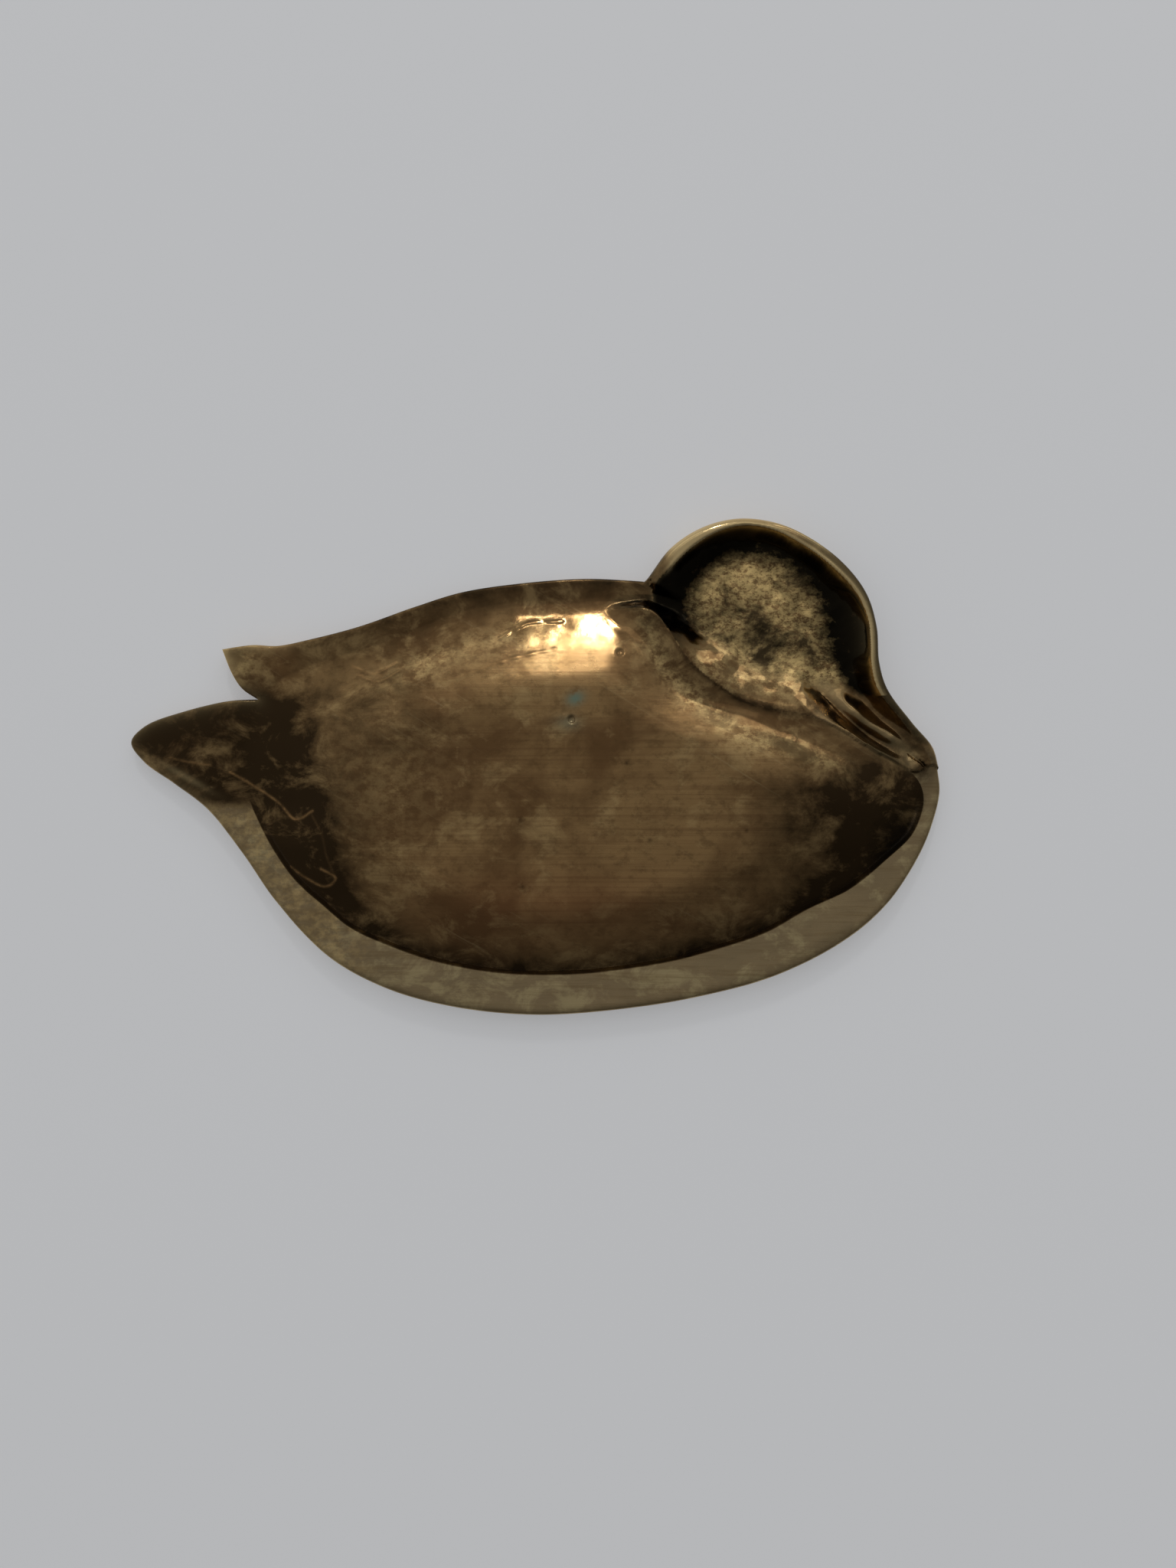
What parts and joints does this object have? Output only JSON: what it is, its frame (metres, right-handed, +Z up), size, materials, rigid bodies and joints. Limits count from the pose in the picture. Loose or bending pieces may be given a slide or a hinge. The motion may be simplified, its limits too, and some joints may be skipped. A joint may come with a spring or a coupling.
{
  "type": "duck-shaped dish",
  "caption": "Shallow cast brass dish in the outline of a resting duck, with a rim band, a flat foot and a hollow-backed head and beak.",
  "frame": {"origin": "middle of the outline, on the plane that the rim rests on", "axes": "+X from the tail to the beak, +Y towards the head's crown, +Z up, out of the foot"},
  "size_m": [0.1597, 0.0973, 0.01],
  "materials": {
    "aged_brass": "aged cast brass, brown in the recesses, rubbed bright on the rims, scratched on the foot"
  },
  "bodies": {
    "root": {"duck_casting": "aged_brass"}
  },
  "joints": []
}
